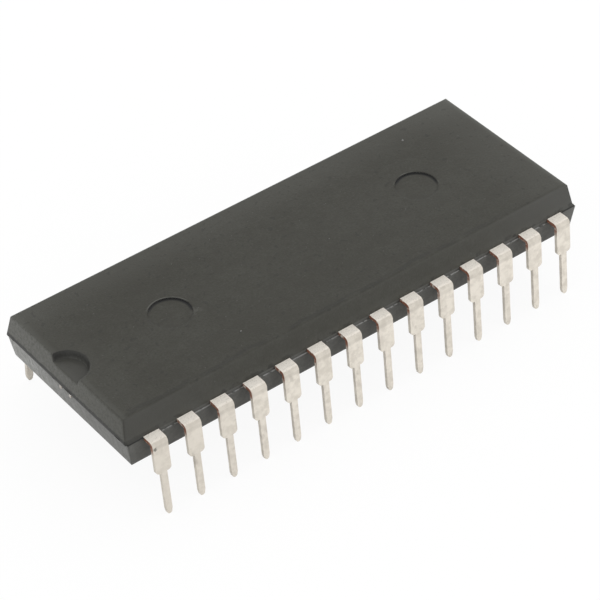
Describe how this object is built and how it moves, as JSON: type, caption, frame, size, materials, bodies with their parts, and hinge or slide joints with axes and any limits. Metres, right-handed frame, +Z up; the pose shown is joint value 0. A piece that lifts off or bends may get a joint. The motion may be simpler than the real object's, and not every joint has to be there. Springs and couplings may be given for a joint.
{
  "type": "dual in-line integrated circuit package",
  "caption": "Moulded plastic chip package with an index notch and two rows of formed tin-plated leads for through-hole boards or sockets.",
  "frame": {"origin": "middle of the package on the plane of the lead tips", "axes": "+X along the package away from the index notch, +Y across it towards the row of leads 15 to 28, +Z up from the lead tips to the top face"},
  "size_m": [0.0368, 0.0162, 0.0077],
  "materials": {
    "moulding": "mineral-filled epoxy moulding compound, fine matte",
    "tinned_lead": "dull tin plating over copper alloy",
    "leadframe_alloy": "bare copper alloy strip",
    "silicon": "polished silicon",
    "die_attach_epoxy": "silver-filled adhesive",
    "gold_wire": "drawn gold wire"
  },
  "bodies": {
    "root": {"body": "moulding", "die_paddle": "leadframe_alloy", "die_attach": "die_attach_epoxy", "die": "silicon", "lead_01": "tinned_lead", "lead_02": "tinned_lead", "lead_03": "tinned_lead", "lead_04": "tinned_lead", "lead_05": "tinned_lead", "lead_06": "tinned_lead", "lead_07": "tinned_lead", "lead_08": "tinned_lead", "lead_09": "tinned_lead", "lead_10": "tinned_lead", "lead_11": "tinned_lead", "lead_12": "tinned_lead", "lead_13": "tinned_lead", "lead_14": "tinned_lead", "lead_15": "tinned_lead", "lead_16": "tinned_lead", "lead_17": "tinned_lead", "lead_18": "tinned_lead", "lead_19": "tinned_lead", "lead_20": "tinned_lead", "lead_21": "tinned_lead", "lead_22": "tinned_lead", "lead_23": "tinned_lead", "lead_24": "tinned_lead", "lead_25": "tinned_lead", "lead_26": "tinned_lead", "lead_27": "tinned_lead", "lead_28": "tinned_lead", "wire_01": "gold_wire", "wire_02": "gold_wire", "wire_03": "gold_wire", "wire_04": "gold_wire", "wire_05": "gold_wire", "wire_06": "gold_wire", "wire_07": "gold_wire", "wire_08": "gold_wire", "wire_09": "gold_wire", "wire_10": "gold_wire", "wire_11": "gold_wire", "wire_12": "gold_wire", "wire_13": "gold_wire", "wire_14": "gold_wire", "wire_15": "gold_wire", "wire_16": "gold_wire", "wire_17": "gold_wire", "wire_18": "gold_wire", "wire_19": "gold_wire", "wire_20": "gold_wire", "wire_21": "gold_wire", "wire_22": "gold_wire", "wire_23": "gold_wire", "wire_24": "gold_wire", "wire_25": "gold_wire", "wire_26": "gold_wire", "wire_27": "gold_wire", "wire_28": "gold_wire"}
  },
  "joints": []
}
